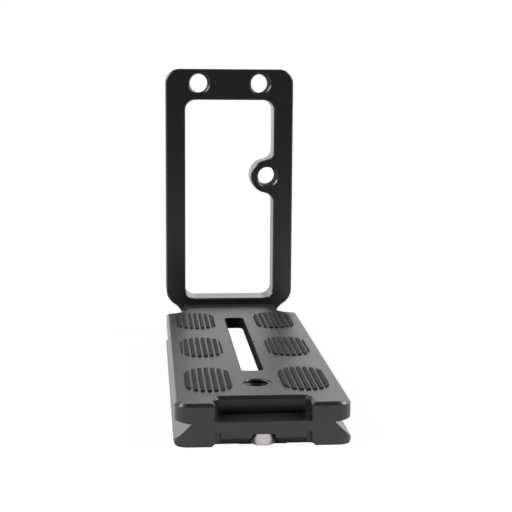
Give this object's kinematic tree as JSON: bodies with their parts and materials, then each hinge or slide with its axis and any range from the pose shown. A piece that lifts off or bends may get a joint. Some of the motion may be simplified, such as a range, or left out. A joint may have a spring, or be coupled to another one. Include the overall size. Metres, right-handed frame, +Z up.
{
  "type": "camera l-bracket",
  "caption": "L-shaped dovetail camera plate: long base with camera slot, ribbed rubber grip pads and a stop screw, and a framed upright with a holed lug.",
  "frame": {"origin": "on the ground under the middle of the bracket's box", "axes": "+Z up along the upright, +Y from the free front end of the base to the upright, +X across the base"},
  "size_m": [0.038, 0.1206, 0.0792],
  "materials": {
    "anodised_aluminium": "black satin anodised",
    "grip_rubber": "matt",
    "stainless_steel": "turned"
  },
  "bodies": {
    "root": {"bracket_body": "anodised_aluminium", "front_stop_screw": "stainless_steel", "grip_pad_left_front": "grip_rubber", "grip_pad_left_middle": "grip_rubber", "grip_pad_left_rear": "grip_rubber", "grip_pad_right_front": "grip_rubber", "grip_pad_right_middle": "grip_rubber", "grip_pad_right_rear": "grip_rubber"}
  },
  "joints": []
}
